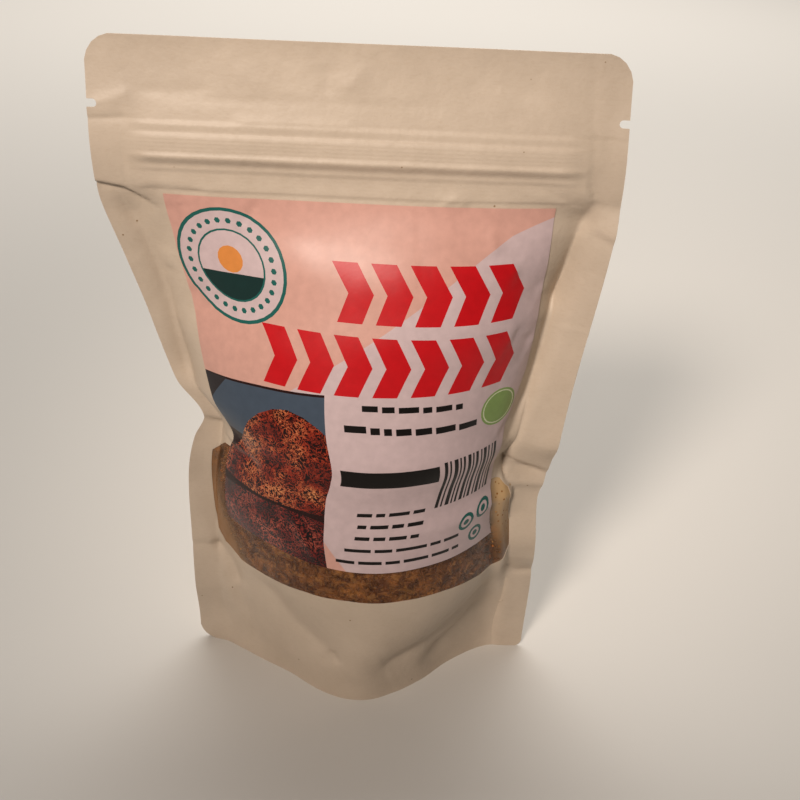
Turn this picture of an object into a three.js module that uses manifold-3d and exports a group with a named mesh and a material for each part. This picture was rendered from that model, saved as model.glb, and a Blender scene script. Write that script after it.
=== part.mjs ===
// A stand-up zip pouch of dried crayfish, in millimetres, +Z up.
// The origin is on the surface it stands on, under the middle of the pouch. The front, with the
// label and the window, faces -Y.
//
// The pouch is two paper webs, front and back, sealed along both sides, with a gusset between them
// at the base. A place on a web is (across, height): across is the distance over the web's own
// surface from its middle line, so it runs from -80 at the left edge to 80 at the right edge.

import * as THREE from 'three';
import { mergeVertices } from 'three/addons/utils/BufferGeometryUtils.js';
import Module from 'manifold-3d';

const wasm = await Module();
wasm.setup();

// The pouch.
const PANEL_WIDTH = 160;
const POUCH_HEIGHT = 236;
const SIDE_SEAL = 10;
const SEALED = PANEL_WIDTH / 2 - SIDE_SEAL;
const FIN_HALF = 0.6;
const WALL = 0.8;
const SKIRT = 1.2;
const TOP_CORNER = 8.5;
const LEFT_FOOT_CORNER = 7;
const RIGHT_FOOT_CORNER = 3;
const CAVITY_TOP = 213;
const NOTCH_HEIGHT = 217;
const NOTCH_DEPTH = 3;
const NOTCH_WIDTH = 2.4;

// The gusset: flat on the ground between its two feet, rising to the side seals.
const GUSSET_FLAT_LEFT = -22;
const GUSSET_FLAT_RIGHT = 30;
const GUSSET_RISE = 38;
const GUSSET_SPAN = 40;
const GUSSET_CURVE = 1.5;
const GUSSET_STEP = 0.5;
const SKIRT_TOP = 62;
const BELOW_GROUND = 2;

// The window, seen from the front.
const WINDOW_LEFT = -52.5;
const WINDOW_RIGHT = 59.5;
const WINDOW_BOTTOM = 55;
const WINDOW_TOP = 97;
const WINDOW_CORNER = 6;
const FILM = 0.4;

// The label, the zip and the contents.
const LABEL_BOTTOM = 70;
const LABEL_TOP = 190;
const LABEL_HALF = 61;
const LABEL_LIFT = 0.35;
const LABEL_SHEET = 0.3;
const ZIP_BOTTOM = 199.5;
const ZIP_TOP = 211.5;
const ZIP_HALF_LENGTH = 66;
const ZIP_STRIP_HALF = 0.25;
const ZIP_RIDGE_HALF = 0.45;
const FILL_SHOULDER = 143;
const FILL_CROWN = 153;
const GAP = 0.35;

// [height, value] along the pouch, joined by smooth curves.
const LEFT_SEAM = [
  [0, -62.3], [60, -62.3], [85, -61], [97, -58.5], [105, -55.2], [122, -63],
  [152, -71], [177, -77.4], [192, -80.4], [236, -80.2],
];
const RIGHT_SEAM = [
  [0, 70.2], [30, 70.5], [60, 69], [80, 67.8], [90, 69.8], [128, 74.3],
  [174, 79.8], [192, 81], [236, 79.8],
];
const LEFT_FLAT = [
  [0, 10], [97, 10], [105, 7], [117, 6], [132, 8], [146, 8.5], [157, 10], [168, 11],
  [180, 12], [190, 11], [198, 10], [236, 10],
];
const RIGHT_FLAT = [
  [0, 10], [97, 10], [104, 14.5], [117, 14], [131, 13.5], [158, 12.5], [169.5, 11],
  [184, 9.5], [193, 8.5], [198, 10], [236, 10],
];
const SEAM_LEAN = [[0, 0], [110, 0], [180, -3], [203, -5.5], [236, 0]];
const BULGE = [
  [0, 31.5], [30, 35.7], [62, 37.4], [90, 38.4], [112, 37.6], [120, 35.8], [130, 32.4],
  [140, 29.2], [150, 25.6], [160, 21.4], [170, 16.2], [176, 12.4], [183, 7.2], [191, 3.6],
  [198, 1.4], [213, 1.4], [217, 0], [236, 0],
];
const BULGE_POWER = [
  [0, 2], [20, 1.7], [45, 1.25], [75, 1.05], [110, 1.15], [150, 1.25], [185, 1.25],
  [198, 0.1], [236, 0.1],
];

// Grid lines of the webs: heights, and places across from the middle to the side seal.
const ROWS = [
  0, 2.5, 7, 14, 24, 35, 45, 55, 62, 70, 78, 85, 91, 97, 101, 105, 109, 115, 122, 132,
  142, 152, 162, 171, 180, 190, 194, 198, 203, 208, 213, 217, 222, 227.5, 231.5, 234, 235.4, 236,
];
const HALF_COLUMNS = [0, 10, 20, 30, 40, 50, LABEL_HALF, 66, SEALED];
const INNER_COLUMNS = [0, 0.17, 0.34, 0.5, 0.65, 0.78, 0.88, 0.95, 1];

const ARC_STEPS = 160;

const FRONT = -1;
const BACK = 1;

// A smooth curve through [height, value] keys, which never swings past a key.
function smoothThrough(keys) {
  const grade = (i) => (keys[i + 1][1] - keys[i][1]) / (keys[i + 1][0] - keys[i][0]);
  const slopes = keys.map((key, i) => {
    if (i === 0 || i === keys.length - 1 || grade(i - 1) * grade(i) <= 0) {
      return 0;
    }
    const mean = (grade(i - 1) + grade(i)) / 2;
    const limit = 3 * Math.min(Math.abs(grade(i - 1)), Math.abs(grade(i)));
    return Math.sign(mean) * Math.min(Math.abs(mean), limit);
  });
  return (height) => {
    const top = keys.length - 1;
    const z = THREE.MathUtils.clamp(height, keys[0][0], keys[top][0]);
    let i = 0;
    while (i < top - 1 && z > keys[i + 1][0]) {
      i += 1;
    }
    const span = keys[i + 1][0] - keys[i][0];
    const t = (z - keys[i][0]) / span;
    const rise = keys[i + 1][1] - keys[i][1];
    const bend = t * (1 - t) * ((1 - t) * (slopes[i] * span - rise) - t * (slopes[i + 1] * span - rise));
    return keys[i][1] + t * rise + bend;
  };
}

const leftSeam = smoothThrough(LEFT_SEAM);
const rightSeam = smoothThrough(RIGHT_SEAM);
const leftFlat = smoothThrough(LEFT_FLAT);
const rightFlat = smoothThrough(RIGHT_FLAT);
const seamLean = smoothThrough(SEAM_LEAN);
const bulge = smoothThrough(BULGE);
const bulgePower = smoothThrough(BULGE_POWER);

// How far a web stands out from the side seals, from -1 at one seal to 1 at the other.
function bulgeShape(across, height) {
  return Math.max(bulge(height), 0) * Math.max(1 - across * across, 0) ** bulgePower(height);
}

// Where the web's surface runs at one height: the flat bands along its two edges, and between them
// the arc length against the width.
const sectionCache = new Map();
function section(height) {
  if (sectionCache.has(height)) {
    return sectionCache.get(height);
  }
  const steps = ARC_STEPS;
  const flatLeft = leftFlat(height);
  const left = leftSeam(height) + flatLeft;
  const right = rightSeam(height) - rightFlat(height);
  const half = (right - left) / 2;
  const lengths = [0];
  for (let i = 1; i <= steps; i += 1) {
    const a = (2 * (i - 1)) / steps - 1;
    const b = (2 * i) / steps - 1;
    lengths.push(lengths[i - 1] + Math.hypot((b - a) * half, bulgeShape(b, height) - bulgeShape(a, height)));
  }
  const curved = PANEL_WIDTH - flatLeft - rightFlat(height);
  const found = { middle: (left + right) / 2, half, lengths, steps, curved };
  found.start = flatLeft - PANEL_WIDTH / 2;
  sectionCache.set(height, found);
  return found;
}

// The place between the seals, -1 to 1, that lies a fraction of the arc length along.
function alongArc(found, fraction) {
  const target = THREE.MathUtils.clamp(fraction, 0, 1) * found.lengths[found.steps];
  let i = 1;
  while (i < found.steps && found.lengths[i] < target) {
    i += 1;
  }
  const before = found.lengths[i - 1];
  const t = (target - before) / Math.max(found.lengths[i] - before, 1e-9);
  return (2 * (i - 1 + t)) / found.steps - 1;
}

// A point on the outer surface of the front or back web.
function webPoint(side, across, height) {
  const found = section(height);
  const inner = THREE.MathUtils.clamp(across, found.start, found.start + found.curved);
  const place = alongArc(found, (inner - found.start) / found.curved);
  const x = found.middle + place * found.half + across - inner;
  const y = seamLean(height) + side * (FIN_HALF + bulgeShape(place, height));
  return new THREE.Vector3(x, y, height);
}

// The same point moved along the surface's own normal, outwards when offset is positive.
function offsetPoint(side, across, height, offset) {
  const step = 0.6;
  const point = webPoint(side, across, height);
  if (offset === 0) {
    return point;
  }
  const alongWeb = webPoint(side, across + step, height).sub(webPoint(side, across - step, height));
  const up = webPoint(side, across, height + step).sub(webPoint(side, across, height - step));
  const normal = alongWeb.cross(up).normalize();
  return point.addScaledVector(normal, normal.y * side > 0 ? offset : -offset);
}

// How much of the side seal is left at a height, where the pouch's corners are rounded off.
function cornerCut(height, isLeft) {
  const foot = isLeft ? LEFT_FOOT_CORNER : RIGHT_FOOT_CORNER;
  if (height < foot) {
    return foot - Math.sqrt(foot * foot - (foot - height) ** 2);
  }
  const above = height - (POUCH_HEIGHT - TOP_CORNER);
  if (above > 0) {
    return TOP_CORNER - Math.sqrt(Math.max(TOP_CORNER * TOP_CORNER - above * above, 0));
  }
  return 0;
}

// A closed solid between two matching grids of points, the first of them facing out.
function solidBetween(gridA, gridB) {
  const rows = gridA.length;
  const columns = gridA[0].length;
  const positions = [];
  [gridA, gridB].forEach((grid) => {
    grid.flat().forEach((p) => positions.push(p.x, p.y, p.z));
  });
  const a = (r, c) => r * columns + c;
  const b = (r, c) => rows * columns + a(r, c);
  const faces = [];
  const quad = (p, q, r, s) => faces.push(p, q, r, p, r, s);
  for (let r = 0; r < rows - 1; r += 1) {
    for (let c = 0; c < columns - 1; c += 1) {
      quad(a(r, c), a(r, c + 1), a(r + 1, c + 1), a(r + 1, c));
      quad(b(r, c), b(r + 1, c), b(r + 1, c + 1), b(r, c + 1));
    }
    quad(a(r, 0), a(r + 1, 0), b(r + 1, 0), b(r, 0));
    quad(a(r + 1, columns - 1), a(r, columns - 1), b(r, columns - 1), b(r + 1, columns - 1));
  }
  for (let c = 0; c < columns - 1; c += 1) {
    quad(a(0, c + 1), a(0, c), b(0, c), b(0, c + 1));
    quad(a(rows - 1, c), a(rows - 1, c + 1), b(rows - 1, c + 1), b(rows - 1, c));
  }
  const geometry = new THREE.BufferGeometry();
  geometry.setAttribute('position', new THREE.Float32BufferAttribute(positions, 3));
  geometry.setIndex(faces);
  return geometry;
}

function toManifold(geometry) {
  const bare = geometry.clone();
  bare.deleteAttribute('normal');
  bare.deleteAttribute('uv');
  const merged = mergeVertices(bare, 1e-4);
  return new wasm.Manifold(new wasm.Mesh({
    numProp: 3,
    vertProperties: new Float32Array(merged.attributes.position.array),
    triVerts: new Uint32Array(merged.index.array),
  }));
}

function toGeometry(manifold) {
  const mesh = manifold.getMesh();
  const geometry = new THREE.BufferGeometry();
  geometry.setAttribute('position', new THREE.BufferAttribute(new Float32Array(mesh.vertProperties), 3));
  geometry.setIndex(new THREE.BufferAttribute(new Uint32Array(mesh.triVerts), 1));
  return geometry;
}

// A front-view outline (x, z) as a solid from y = nearY forwards by depth.
function frontPrism(shape, nearY, depth) {
  const geometry = new THREE.ExtrudeGeometry(shape, { depth, bevelEnabled: false, curveSegments: 10 });
  geometry.rotateX(Math.PI / 2);
  geometry.translate(0, nearY, 0);
  return toManifold(geometry);
}

// A side-view outline (y, z) as a solid from x = -halfLength to halfLength.
function sideBar(shape, halfLength) {
  const geometry = new THREE.ExtrudeGeometry(shape, { depth: 2 * halfLength, bevelEnabled: false });
  geometry.translate(0, 0, -halfLength);
  geometry.rotateX(Math.PI / 2);
  geometry.rotateZ(Math.PI / 2);
  return geometry;
}

// The full outer form, both webs and the space between them.
function outerForm() {
  const across = (sign, height) => {
    const cut = cornerCut(height, sign < 0);
    const fin = [0.5, 1].map((share) => SEALED + share * (SIDE_SEAL - cut));
    return [...HALF_COLUMNS, ...fin].map((value) => sign * value);
  };
  const grid = (side) => ROWS.map((height) => {
    const places = [...across(-1, height).reverse(), ...across(1, height).slice(1)];
    return places.map((place) => webPoint(side, place, height));
  });
  return toManifold(solidBetween(grid(FRONT), grid(BACK)));
}

// The outer form moved in by inset, without the side seals, between two heights.
function innerForm(inset, bottom, top) {
  const clear = inset - FIN_HALF + 0.2;
  const reachAt = (height) => {
    let place = 1;
    while (place > 0.3 && bulgeShape(place, height) < clear) {
      place -= 0.005;
    }
    const found = section(height);
    const index = Math.round(((place + 1) / 2) * found.steps);
    return found.lengths[index] / found.lengths[found.steps] - 0.5;
  };
  const heights = [bottom, ...ROWS.filter((row) => row > bottom + 1 && row < top - 1), top];
  const grid = (side) => heights.map((height) => {
    const found = section(Math.max(height, 0));
    const half = INNER_COLUMNS.map((share) => share * reachAt(Math.max(height, 0)));
    const shares = [...half.slice(1).reverse().map((share) => -share), ...half];
    const places = shares.map((share) => found.start + (0.5 + share) * found.curved);
    return places.map((place) => {
      const point = offsetPoint(side, place, Math.max(height, 0), -inset);
      point.z = height;
      return point;
    });
  });
  return toManifold(solidBetween(grid(FRONT), grid(BACK)));
}

// The line of the gusset in front view, from its flat middle to one side.
function gussetPoints(start, direction, lift) {
  const steps = 12;
  const points = [];
  for (let i = 0; i <= steps; i += 1) {
    const share = i / steps;
    const rise = GUSSET_STEP + GUSSET_RISE * share ** GUSSET_CURVE + lift;
    points.push(new THREE.Vector2(start + direction * share * GUSSET_SPAN, rise));
  }
  return points;
}

// All that lies above the gusset by a clearance, in front view, up to a crown.
function aboveGusset(clearance, shoulder, crown) {
  const wide = PANEL_WIDTH;
  const left = gussetPoints(GUSSET_FLAT_LEFT, -1, clearance - GUSSET_STEP).reverse();
  const right = gussetPoints(GUSSET_FLAT_RIGHT, 1, clearance - GUSSET_STEP);
  const shape = new THREE.Shape();
  shape.moveTo(-wide, left[0].y);
  [...left, ...right].forEach((point) => shape.lineTo(point.x, point.y));
  shape.lineTo(wide, right[right.length - 1].y);
  shape.lineTo(wide, shoulder);
  shape.quadraticCurveTo(0, 2 * crown - shoulder, -wide, shoulder);
  shape.closePath();
  return frontPrism(shape, PANEL_WIDTH / 2, PANEL_WIDTH);
}

// The open space under the gusset at one side.
function underGusset(start, direction) {
  const points = gussetPoints(start, direction, 0);
  const last = points[points.length - 1];
  const shape = new THREE.Shape();
  shape.moveTo(start, -BELOW_GROUND);
  points.forEach((point) => shape.lineTo(point.x, point.y));
  shape.lineTo(last.x + direction * PANEL_WIDTH, last.y);
  shape.lineTo(last.x + direction * PANEL_WIDTH, -BELOW_GROUND);
  shape.closePath();
  return frontPrism(shape, PANEL_WIDTH / 2, PANEL_WIDTH);
}

// The window's rounded outline, drawn in by inset, as a cut through the front web only.
function windowPrism(inset) {
  const left = WINDOW_LEFT + inset;
  const right = WINDOW_RIGHT - inset;
  const bottom = WINDOW_BOTTOM + inset;
  const top = WINDOW_TOP - inset;
  const corner = WINDOW_CORNER - inset;
  const shape = new THREE.Shape();
  shape.moveTo(left + corner, bottom);
  shape.lineTo(right - corner, bottom);
  shape.quadraticCurveTo(right, bottom, right, bottom + corner);
  shape.lineTo(right, top - corner);
  shape.quadraticCurveTo(right, top, right - corner, top);
  shape.lineTo(left + corner, top);
  shape.quadraticCurveTo(left, top, left, top - corner);
  shape.lineTo(left, bottom + corner);
  shape.quadraticCurveTo(left, bottom, left + corner, bottom);
  return frontPrism(shape, -FIN_HALF, PANEL_WIDTH / 2);
}

// A tear notch, round at its inner end, in one side of the header.
function notch(edge, direction) {
  const half = NOTCH_WIDTH / 2;
  const shape = new THREE.Shape();
  const centre = edge + direction * (NOTCH_DEPTH - half);
  shape.moveTo(edge - direction * 5, NOTCH_HEIGHT - half);
  shape.lineTo(centre, NOTCH_HEIGHT - half);
  shape.absarc(centre, NOTCH_HEIGHT, half, -Math.PI / 2, Math.PI / 2, direction < 0);
  shape.lineTo(edge - direction * 5, NOTCH_HEIGHT + half);
  shape.closePath();
  return frontPrism(shape, PANEL_WIDTH / 2, PANEL_WIDTH);
}

// The two webs and the gusset, sealed into one shell that is open at the window.
function pouch() {
  const inside = innerForm(WALL, -BELOW_GROUND, CAVITY_TOP);
  const cavity = inside.intersect(aboveGusset(WALL, POUCH_HEIGHT, POUCH_HEIGHT));
  const skirts = innerForm(SKIRT, -2 * BELOW_GROUND, SKIRT_TOP);
  return outerForm()
    .subtract(cavity)
    .subtract(skirts.intersect(underGusset(GUSSET_FLAT_LEFT, -1)))
    .subtract(skirts.intersect(underGusset(GUSSET_FLAT_RIGHT, 1)))
    .subtract(windowPrism(0))
    .subtract(notch(leftSeam(NOTCH_HEIGHT), 1))
    .subtract(notch(rightSeam(NOTCH_HEIGHT), -1));
}

// A sheet that follows the front web, between two offsets from its surface.
function frontSheet(reach, bottom, top, outerOffset, innerOffset) {
  const half = HALF_COLUMNS.filter((place) => place <= reach);
  const places = [...half.slice(1).reverse().map((place) => -place), ...half];
  const heights = ROWS.filter((row) => row >= bottom && row <= top);
  const grid = (offset) => heights.map((height) => (
    places.map((place) => offsetPoint(FRONT, place, height, offset))
  ));
  return solidBetween(grid(outerOffset), grid(innerOffset));
}

// The clear film that closes the window, flush with the paper.
function windowFilm() {
  const sheet = toManifold(frontSheet(SEALED, WINDOW_BOTTOM - 10, WINDOW_TOP + 4, 0, -FILM));
  return sheet.intersect(windowPrism(GAP));
}

// The square label, a sheet just clear of the paper and the film.
function label() {
  return frontSheet(LABEL_HALF, LABEL_BOTTOM, LABEL_TOP, LABEL_LIFT + LABEL_SHEET, LABEL_LIFT);
}

// The contents, up to a low crown, clear of the walls and the film.
function crayfishFill() {
  const clearance = WALL + GAP;
  const body = innerForm(clearance, -BELOW_GROUND, LABEL_TOP);
  return body.intersect(aboveGusset(clearance, FILL_SHOULDER, FILL_CROWN));
}

// The press-to-close strip between the webs, thicker along its two ridges.
function zip() {
  const heights = [0, 0.25, 0.32, 0.42, 0.49, 0.6, 0.67, 0.77, 0.84, 1];
  const thick = [0, 0, 1, 1, 0, 0, 1, 1, 0, 0];
  const edge = (side) => heights.map((share, i) => {
    const height = THREE.MathUtils.lerp(ZIP_BOTTOM, ZIP_TOP, share);
    const half = THREE.MathUtils.lerp(ZIP_STRIP_HALF, ZIP_RIDGE_HALF, thick[i]);
    return new THREE.Vector2(seamLean(height) + side * half, height);
  });
  return sideBar(new THREE.Shape([...edge(1), ...edge(-1).reverse()]), ZIP_HALF_LENGTH);
}

function piece(name, geometry, color, roughness) {
  const material = new THREE.MeshStandardMaterial({ color, roughness, metalness: 0 });
  const mesh = new THREE.Mesh(geometry, material);
  mesh.name = name;
  return mesh;
}

const pack = new THREE.Group();
pack.add(piece('pouch', toGeometry(pouch()), 0xd3bda1, 0.75));
pack.add(piece('window_film', toGeometry(windowFilm()), 0x8a6a4c, 0.15));
pack.add(piece('label', label(), 0xd9ab98, 0.35));
pack.add(piece('press_zip', zip(), 0xd8cdb8, 0.4));
pack.add(piece('crayfish_fill', toGeometry(crayfishFill()), 0x8f5228, 0.8));

export default pack;
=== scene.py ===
"""A stand-up zip pouch of dried crayfish: kraft paper webs, a clear window and a square label."""
import math
import random
from bisect import bisect_left

import bmesh
import bpy
from mathutils import Matrix, Vector, noise


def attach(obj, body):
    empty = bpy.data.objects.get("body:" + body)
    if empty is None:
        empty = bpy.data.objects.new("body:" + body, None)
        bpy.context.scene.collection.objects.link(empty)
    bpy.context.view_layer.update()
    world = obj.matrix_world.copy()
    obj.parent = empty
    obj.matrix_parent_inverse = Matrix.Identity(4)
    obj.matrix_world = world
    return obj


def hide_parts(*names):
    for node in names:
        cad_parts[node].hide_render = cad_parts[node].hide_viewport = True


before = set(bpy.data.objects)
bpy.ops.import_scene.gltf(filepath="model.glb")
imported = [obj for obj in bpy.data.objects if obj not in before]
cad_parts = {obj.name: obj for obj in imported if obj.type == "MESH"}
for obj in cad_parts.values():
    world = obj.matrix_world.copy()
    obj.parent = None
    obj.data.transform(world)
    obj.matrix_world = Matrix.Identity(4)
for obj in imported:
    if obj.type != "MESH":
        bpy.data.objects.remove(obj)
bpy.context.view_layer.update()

MM = 0.001

# --- Camera: a little above the pouch, looking down at it, and tilted by a hand's unsteadiness.
CAMERA_PLACE = (15.7, -287.66, 288.69)
CAMERA_AZIMUTH = math.radians(-0.03)
CAMERA_ELEVATION = math.radians(30.84)
CAMERA_ROLL = math.radians(2.37)
LENS = 42.75
SENSOR_WIDTH = 36

back = Vector((
    math.sin(CAMERA_AZIMUTH) * math.cos(CAMERA_ELEVATION),
    -math.cos(CAMERA_AZIMUTH) * math.cos(CAMERA_ELEVATION),
    math.sin(CAMERA_ELEVATION),
))
level = (-back).cross(Vector((0, 0, 1))).normalized()
upright = level.cross(-back)
turn_cos, turn_sin = math.cos(CAMERA_ROLL), math.sin(CAMERA_ROLL)
right = turn_cos * level + turn_sin * upright
up = turn_cos * upright - turn_sin * level
camera_data = bpy.data.cameras.new("camera")
camera_data.lens = LENS
camera_data.sensor_width = SENSOR_WIDTH
camera = bpy.data.objects.new("camera", camera_data)
camera.matrix_world = Matrix.Translation(Vector(CAMERA_PLACE) * MM) @ Matrix((
    (right.x, up.x, back.x, 0),
    (right.y, up.y, back.y, 0),
    (right.z, up.z, back.z, 0),
    (0, 0, 0, 1),
))
bpy.context.collection.objects.link(camera)
bpy.context.scene.camera = camera
bpy.context.scene.view_settings.view_transform = "Standard"

# --- Sizes in millimetres. A place on a web is (across, height): across is measured over the web's
# own surface from its middle line, from -80 at the left edge to 80 at the right edge.
PANEL_HALF = 80
POUCH_HEIGHT = 236
SEAL_HALF = 0.3
PAPER = 0.26
TOP_CORNER = 8.5
LEFT_FOOT_CORNER = 7
RIGHT_FOOT_CORNER = 3
NOTCH_HEIGHT = 217
NOTCH_DEPTH = 3
NOTCH_HALF = 1.2
WEB_STEP = 1.0
ARC_STEPS = 160
FRONT = -1
BACK = 1
# Keeps a division from failing.
TINY = 1e-9
# How near a cut may pass to a corner of the mesh before it takes that corner.
CUT_WELD = 1e-4
# Millimetres to one unit of a sheet's flat UV map.
FLAT_UNIT = 100

# (height, value) keys along the pouch, joined by smooth curves.
LEFT_SEAM = [(0, -62.3), (60, -62.3), (85, -61), (98, -58), (107, -54), (122, -62.6), (152, -71),
             (177, -77.4), (192, -80.4), (236, -80.2)]
RIGHT_SEAM = [(0, 70.2), (30, 70.5), (60, 69), (80, 67.8), (90, 69.8), (128, 74.3), (174, 79.8),
              (192, 81), (236, 79.8)]
LEFT_FLAT = [(0, 10), (97, 10), (105, 7), (117, 6), (132, 8), (146, 8.5), (157, 10), (168, 11),
             (180, 12), (190, 11), (198, 10), (236, 10)]
RIGHT_FLAT = [(0, 10), (84, 10), (87.5, 12.5), (91, 15.5), (99, 17.5), (108, 14.8), (117, 14),
              (131, 13.5), (158, 12.5), (169.5, 11), (184, 9.5), (193, 8.5), (198, 10), (236, 10)]
SEAM_LEAN = [(0, 0), (110, 0), (180, -3), (203, -5.5), (236, 0)]
BULGE = [(0, 31.5), (30, 35.7), (60, 38), (80, 37.2), (95, 35.8), (110, 36.6), (120, 34.2),
         (130, 30.9), (140, 27.4), (150, 23.8), (160, 19.3), (170, 14.7), (180, 8.6), (190, 3.0),
         (198, 0.6), (204, 0.35), (212, 0.15), (219, 0), (236, 0)]
# By what share the bulge grows towards the right edge and shrinks towards the left one.
BULGE_SKEW = [(0, 0), (20, 0.16), (45, 0.24), (65, 0.16), (100, 0.06), (120, 0.1), (140, 0.2),
              (160, 0.42), (180, 0.42), (192, 0.1), (236, 0)]
# Below 1 the section is boxy with full sides, above 1 its sides run out softly.
BULGE_POWER = [(0, 2), (20, 1.45), (45, 1.05), (60, 0.98), (80, 0.78), (98, 0.66), (120, 0.8),
               (140, 0.8), (160, 0.88), (185, 0.9), (198, 0.1), (236, 0.1)]
# The press-to-close zip shows through the paper as two steps and a sharp rib.
ZIP_RELIEF = [(192, 0), (192.8, 0.35), (198, 0.2), (199, 0.45), (200, 0.4), (203, 1.5),
              (203.9, 1.0), (209, 0.75), (209.8, 0.3), (212, 0.45), (213.2, 0)]
ZIP_END = 70
ZIP_FADE = 9


def smooth_through(keys):
    """A smooth curve through (height, value) keys, which never swings past a key."""
    heights = [key[0] for key in keys]

    def grade(i):
        return (keys[i + 1][1] - keys[i][1]) / (keys[i + 1][0] - keys[i][0])

    slopes = []
    for i in range(len(keys)):
        if i in (0, len(keys) - 1) or grade(i - 1) * grade(i) <= 0:
            slopes.append(0.0)
        else:
            mean = (grade(i - 1) + grade(i)) / 2
            limit = 3 * min(abs(grade(i - 1)), abs(grade(i)))
            slopes.append(math.copysign(min(abs(mean), limit), mean))

    def value(height):
        z = min(max(height, heights[0]), heights[-1])
        i = min(max(bisect_left(heights, z) - 1, 0), len(keys) - 2)
        span = heights[i + 1] - heights[i]
        t = (z - heights[i]) / span
        rise = keys[i + 1][1] - keys[i][1]
        bend = (1 - t) * (slopes[i] * span - rise) - t * (slopes[i + 1] * span - rise)
        return keys[i][1] + t * rise + t * (1 - t) * bend

    return value


left_seam = smooth_through(LEFT_SEAM)
right_seam = smooth_through(RIGHT_SEAM)
left_flat = smooth_through(LEFT_FLAT)
right_flat = smooth_through(RIGHT_FLAT)
seam_lean = smooth_through(SEAM_LEAN)
bulge = smooth_through(BULGE)
bulge_skew = smooth_through(BULGE_SKEW)
bulge_power = smooth_through(BULGE_POWER)
zip_relief = smooth_through(ZIP_RELIEF)


def ease(value, start, end):
    """0 before start, 1 after end, and a smooth turn between them."""
    t = min(max((value - start) / (end - start), 0), 1)
    return t * t * (3 - 2 * t)


PLACES = [math.sin(math.pi / 2 * (2 * i / ARC_STEPS - 1)) for i in range(ARC_STEPS + 1)]
sections = {}


def section(height):
    """How the web runs at one height: flat bands, start, half width, form and arc lengths."""
    key = round(height, 3)
    if key not in sections:
        flat_left, flat_right = left_flat(key), right_flat(key)
        start = left_seam(key) + flat_left
        half = (right_seam(key) - flat_right - start) / 2
        depth, power, skew = max(bulge(key), 0), bulge_power(key), bulge_skew(key)

        def out_at(place):
            return depth * max(1 - place * place, 0) ** power * (1 + skew * place)

        lengths = [0.0]
        for a, b in zip(PLACES, PLACES[1:]):
            lengths.append(lengths[-1] + math.hypot((b - a) * half, out_at(b) - out_at(a)))
        sections[key] = (flat_left, flat_right, start, half, out_at, lengths)
    return sections[key]


def web_point(side, across, height):
    """A point on the smooth outer surface of the front or back web."""
    flat_left, flat_right, start, half, out_at, lengths = section(height)
    lean = seam_lean(height)
    from_left = across + PANEL_HALF
    curved = 2 * PANEL_HALF - flat_left - flat_right
    if from_left <= flat_left:
        return Vector((start - flat_left + from_left, lean + side * SEAL_HALF, height))
    if from_left >= flat_left + curved:
        x = start + 2 * half + from_left - flat_left - curved
        return Vector((x, lean + side * SEAL_HALF, height))
    target = (from_left - flat_left) / curved * lengths[-1]
    i = min(max(bisect_left(lengths, target), 1), ARC_STEPS)
    t = (target - lengths[i - 1]) / max(lengths[i] - lengths[i - 1], TINY)
    place = PLACES[i - 1] + t * (PLACES[i] - PLACES[i - 1])
    relief = zip_relief(height) * (1 - ease(abs(across), ZIP_END - ZIP_FADE, ZIP_END))
    out = SEAL_HALF + out_at(place) + relief
    return Vector((start + (place + 1) * half, lean + side * out, height))


def web_normal(side, across, height, step=0.8):
    """The outward direction of the smooth web."""
    low, high = max(height - step, 0), min(height + step, POUCH_HEIGHT)
    along = web_point(side, across + step, height) - web_point(side, across - step, height)
    rise = web_point(side, across, high) - web_point(side, across, low)
    out = along.cross(rise).normalized()
    return out if out.y * side > 0 else -out


# --- Creases. Each is a path over the web with how far it lifts (out of the pouch when positive)
# and how softly it fades on the left and on the right of the path, all in millimetres.
# A crease is cut off at this many times its softer width.
CREASE_REACH = 4


def crease(path, lift, left, right, fade=0.25, rounding=0.4):
    """A crease, with the running lengths of its path and the box outside which it does nothing.
    fade is the share of its length over which each end dies away, and rounding is how blunt its
    line is."""
    points = [Vector(point) for point in path]
    runs = [0.0]
    for a, b in zip(points, points[1:]):
        runs.append(runs[-1] + (b - a).length)
    reach = CREASE_REACH * max(left, right)
    low = (min(p.x for p in points) - reach, min(p.y for p in points) - reach)
    high = (max(p.x for p in points) + reach, max(p.y for p in points) + reach)
    return points, runs, lift, left, right, fade, rounding, low, high


def lift_at(creases, across, height):
    """The sum of all the creases' lifts at a place."""
    total = 0.0
    for points, runs, lift, left, right, fade, rounding, low, high in creases:
        if not (low[0] < across < high[0] and low[1] < height < high[1]):
            continue
        nearest, side, along = math.inf, 1, 0.0
        for i in range(len(points) - 1):
            a, b = points[i], points[i + 1]
            dx, dy = b.x - a.x, b.y - a.y
            px, py = across - a.x, height - a.y
            t = min(max((px * dx + py * dy) / (dx * dx + dy * dy), 0), 1)
            distance = math.hypot(px - t * dx, py - t * dy)
            if distance < nearest:
                nearest = distance
                side = 1 if dx * py - dy * px > 0 else -1
                along = (runs[i] + t * (runs[i + 1] - runs[i])) / runs[-1]
        width = left if side > 0 else right
        strength = math.exp(-(math.hypot(nearest, rounding) - rounding) / width)
        ends = ease(along, 0, fade) * (1 - ease(along, 1 - fade, 1)) if fade > 0 else 1
        total += lift * strength * ends
    return total


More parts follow.
